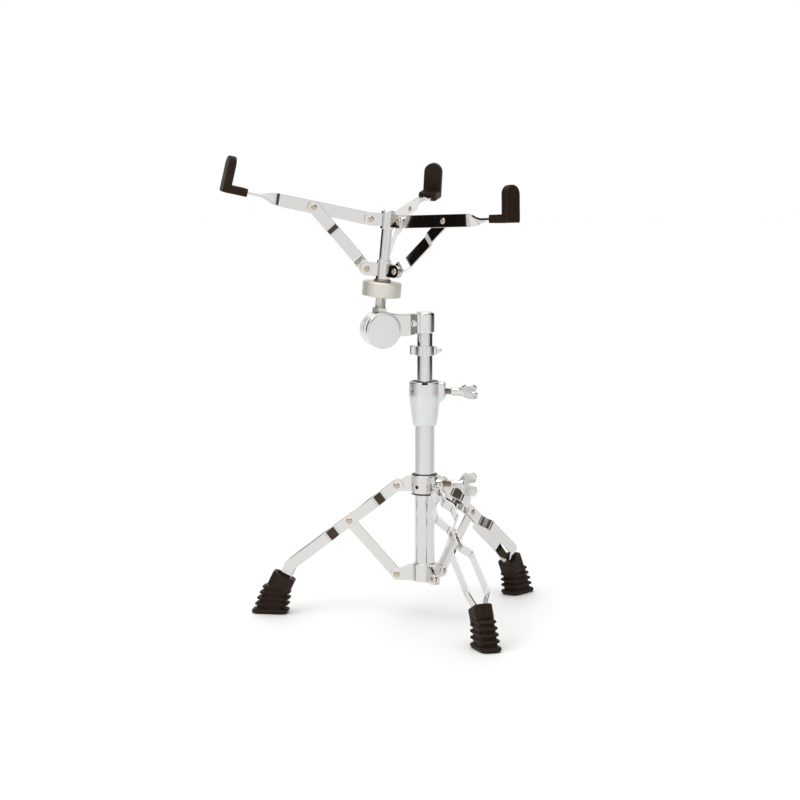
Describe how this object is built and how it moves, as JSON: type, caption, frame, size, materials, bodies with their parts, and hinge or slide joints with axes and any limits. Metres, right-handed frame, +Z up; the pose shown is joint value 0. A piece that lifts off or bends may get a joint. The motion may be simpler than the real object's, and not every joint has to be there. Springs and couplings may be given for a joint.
{
  "type": "snare drum stand",
  "caption": "Folding tripod stand with double-strap legs, telescoping chrome column, disc tilter and a three-arm basket with rubber tips.",
  "frame": {"origin": "on the floor plane of the feet, under the column axis", "axes": "+Z up the column; +X to the side of the wing screws; -Y is the front, where the tilter face looks"},
  "size_m": [0.3962, 0.4062, 0.5862],
  "materials": {
    "chromed_tube": "polished chrome plate on drawn steel tube",
    "chromed_strap": "chrome plate on pressed steel strap",
    "chromed_rivet": "plated domed rivets",
    "chromed_fastener": "chrome plated screws and nuts",
    "satin_casting": "satin plated die casting",
    "frosted_nut": "fine frosted die casting",
    "black_rubber": "moulded rubber, matt",
    "black_nylon": "moulded nylon"
  },
  "bodies": {
    "base": {"main_tube": "chromed_tube", "tube_plug": "black_nylon", "height_clamp": "satin_casting", "brace_collar": "chromed_strap", "brace_collar_rivets": "chromed_rivet"},
    "clamp_bush": {"clamp_bush": "black_nylon"},
    "clamp_wing_bolt": {"clamp_wing_bolt": "chromed_fastener"},
    "leg_collar": {"leg_collar": "chromed_strap", "leg_collar_liner": "black_nylon"},
    "leg_wing_bolt": {"leg_wing_bolt": "chromed_fastener"},
    "upper_column": {"upper_tube": "chromed_tube", "tilter_bracket": "satin_casting", "tilter_cap": "satin_casting", "tilter_bolt": "chromed_fastener", "tilter_key_bolt": "chromed_fastener", "tilter_washer": "black_nylon"},
    "memory_lock": {"memory_lock_front": "satin_casting", "memory_lock_rear": "satin_casting", "memory_lock_pin": "chromed_fastener"},
    "memory_lock_screw": {"memory_lock_screw": "chromed_fastener"},
    "tilter_wing_nut": {"tilter_wing_nut": "chromed_fastener"},
    "tilter_head": {"rod_holder": "satin_casting", "basket_rod": "chromed_tube", "rod_jam_nut": "chromed_fastener", "upper_hub": "chromed_strap", "upper_hub_rivets": "chromed_rivet"},
    "lower_hub": {"lower_hub": "chromed_strap", "lower_hub_rivets": "chromed_rivet", "hub_washer": "chromed_fastener"},
    "basket_nut": {"basket_nut": "frosted_nut"},
    "leg_1": {"leg_1_strap_left": "chromed_strap", "leg_1_strap_right": "chromed_strap", "leg_1_rivets": "chromed_rivet", "foot_1": "black_rubber"},
    "leg_brace_1": {"leg_brace_1": "chromed_strap"},
    "leg_2": {"leg_2_strap_left": "chromed_strap", "leg_2_strap_right": "chromed_strap", "leg_2_rivets": "chromed_rivet", "foot_2": "black_rubber"},
    "leg_brace_2": {"leg_brace_2": "chromed_strap"},
    "leg_3": {"leg_3_strap_left": "chromed_strap", "leg_3_strap_right": "chromed_strap", "leg_3_rivets": "chromed_rivet", "foot_3": "black_rubber"},
    "leg_brace_3": {"leg_brace_3": "chromed_strap"},
    "arm_1": {"arm_1": "chromed_strap", "arm_rivet_1": "chromed_rivet", "arm_tip_1": "black_rubber"},
    "arm_brace_1": {"arm_brace_1": "chromed_strap"},
    "arm_2": {"arm_2": "chromed_strap", "arm_rivet_2": "chromed_rivet", "arm_tip_2": "black_rubber"},
    "arm_brace_2": {"arm_brace_2": "chromed_strap"},
    "arm_3": {"arm_3": "chromed_strap", "arm_rivet_3": "chromed_rivet", "arm_tip_3": "black_rubber"},
    "arm_brace_3": {"arm_brace_3": "chromed_strap"}
  },
  "joints": [
    {"name": "leg_collar_slide", "type": "slide", "parent": "base", "child": "leg_collar", "axis": [0, 0, 1], "range_m": [-0.005, 0.048]},
    {"name": "leg_wing_bolt_turn", "type": "hinge", "parent": "leg_collar", "child": "leg_wing_bolt", "pos_m": [0.02969, -0.00428, 0.172], "axis": [0.9898, -0.1426, 0], "continuous": true},
    {"name": "clamp_wing_bolt_turn", "type": "hinge", "parent": "base", "child": "clamp_wing_bolt", "pos_m": [0.02969, -0.00428, 0.289], "axis": [0.9898, -0.1426, 0], "continuous": true},
    {"name": "leg_1_pivot", "type": "hinge", "parent": "leg_collar", "child": "leg_1", "pos_m": [-0.03464, 0.00499, 0.1686], "axis": [-0.1426, -0.9898, 0], "range_deg": [-4.4, 37.11]},
    {"name": "leg_brace_1_pivot", "type": "hinge", "parent": "base", "child": "leg_brace_1", "pos_m": [-0.03474, 0.00501, 0.0552], "axis": [-0.1426, -0.9898, 0], "range_deg": [-29.51, 3.61]},
    {"name": "leg_2_pivot", "type": "hinge", "parent": "leg_collar", "child": "leg_2", "pos_m": [0.02164, 0.02751, 0.1686], "axis": [-0.7859, 0.6184, 0], "range_deg": [-4.4, 37.11]},
    {"name": "leg_brace_2_pivot", "type": "hinge", "parent": "base", "child": "leg_brace_2", "pos_m": [0.02171, 0.02758, 0.0552], "axis": [-0.7859, 0.6184, 0], "range_deg": [-29.51, 3.61]},
    {"name": "leg_3_pivot", "type": "hinge", "parent": "leg_collar", "child": "leg_3", "pos_m": [0.013, -0.0325, 0.1686], "axis": [0.9285, 0.3714, 0], "range_deg": [-4.4, 37.11]},
    {"name": "leg_brace_3_pivot", "type": "hinge", "parent": "base", "child": "leg_brace_3", "pos_m": [0.01303, -0.03259, 0.0552], "axis": [0.9285, 0.3714, 0], "range_deg": [-29.51, 3.61]},
    {"name": "column_swivel", "type": "hinge", "parent": "base", "child": "clamp_bush", "pos_m": [0, 0, 0.28], "axis": [0, 0, 1], "continuous": true},
    {"name": "height_slide", "type": "slide", "parent": "clamp_bush", "child": "upper_column", "axis": [0, 0, 1], "range_m": [-0.026, 0.1]},
    {"name": "memory_lock_slide", "type": "slide", "parent": "upper_column", "child": "memory_lock", "axis": [0, 0, 1], "range_m": [0, 0.012]},
    {"name": "memory_lock_screw_turn", "type": "hinge", "parent": "memory_lock", "child": "memory_lock_screw", "pos_m": [0.016, 0, 0.34], "axis": [1, 0, 0], "continuous": true},
    {"name": "tilter", "type": "hinge", "parent": "upper_column", "child": "tilter_head", "pos_m": [-0.05341, -0.02158, 0.368], "axis": [0.3746, -0.9272, 0], "range_deg": [-22, 85]},
    {"name": "tilter_wing_nut_turn", "type": "hinge", "parent": "upper_column", "child": "tilter_wing_nut", "pos_m": [-0.06464, 0.00624, 0.368], "axis": [0.3746, -0.9272, 0], "continuous": true},
    {"name": "basket_slide", "type": "slide", "parent": "tilter_head", "child": "lower_hub", "axis": [0.0872, 0, 0.9962], "range_m": [-0.005, 0.022]},
    {"name": "basket_nut_turn", "type": "hinge", "parent": "lower_hub", "child": "basket_nut", "pos_m": [-0.05354, -0.01045, 0.41781], "axis": [0.0872, 0, 0.9962], "range_deg": [-902, 3962]},
    {"name": "arm_1_pivot", "type": "hinge", "parent": "tilter_head", "child": "arm_1", "pos_m": [-0.0677, -0.01628, 0.50538], "axis": [0.2578, -0.9659, -0.0226], "range_deg": [-28.73, 6.99]},
    {"name": "arm_brace_1_pivot", "type": "hinge", "parent": "lower_hub", "child": "arm_brace_1", "pos_m": [-0.07308, -0.01628, 0.44391], "axis": [0.2578, -0.9659, -0.0226], "range_deg": [-10.4, 2.83]},
    {"name": "arm_2_pivot", "type": "hinge", "parent": "tilter_head", "child": "arm_2", "pos_m": [-0.04025, 0.01128, 0.50297], "axis": [-0.9623, 0.2588, 0.0842], "range_deg": [-28.73, 6.99]},
    {"name": "arm_brace_2_pivot", "type": "hinge", "parent": "lower_hub", "child": "arm_brace_2", "pos_m": [-0.04562, 0.01128, 0.44151], "axis": [-0.9623, 0.2588, 0.0842], "range_deg": [-10.4, 2.83]},
    {"name": "arm_3_pivot", "type": "hinge", "parent": "tilter_head", "child": "arm_3", "pos_m": [-0.0302, -0.02636, 0.5021], "axis": [0.7044, 0.7071, -0.0616], "range_deg": [-28.73, 6.99]},
    {"name": "arm_brace_3_pivot", "type": "hinge", "parent": "lower_hub", "child": "arm_brace_3", "pos_m": [-0.03558, -0.02636, 0.44063], "axis": [0.7044, 0.7071, -0.0616], "range_deg": [-10.4, 2.83]}
  ],
  "couplings": [
    {"joint": "leg_1_pivot", "follows": "leg_collar_slide", "rad_per_m": 13.274},
    {"joint": "leg_brace_1_pivot", "follows": "leg_collar_slide", "rad_per_m": -10.513},
    {"joint": "leg_2_pivot", "follows": "leg_collar_slide", "rad_per_m": 13.274},
    {"joint": "leg_brace_2_pivot", "follows": "leg_collar_slide", "rad_per_m": -10.513},
    {"joint": "leg_3_pivot", "follows": "leg_collar_slide", "rad_per_m": 13.274},
    {"joint": "leg_brace_3_pivot", "follows": "leg_collar_slide", "rad_per_m": -10.513},
    {"joint": "basket_nut_turn", "follows": "basket_slide", "rad_per_m": 3141.6},
    {"joint": "arm_1_pivot", "follows": "basket_slide", "rad_per_m": -22.315},
    {"joint": "arm_brace_1_pivot", "follows": "basket_slide", "rad_per_m": -7.776},
    {"joint": "arm_2_pivot", "follows": "basket_slide", "rad_per_m": -22.315},
    {"joint": "arm_brace_2_pivot", "follows": "basket_slide", "rad_per_m": -7.776},
    {"joint": "arm_3_pivot", "follows": "basket_slide", "rad_per_m": -22.315},
    {"joint": "arm_brace_3_pivot", "follows": "basket_slide", "rad_per_m": -7.776}
  ]
}
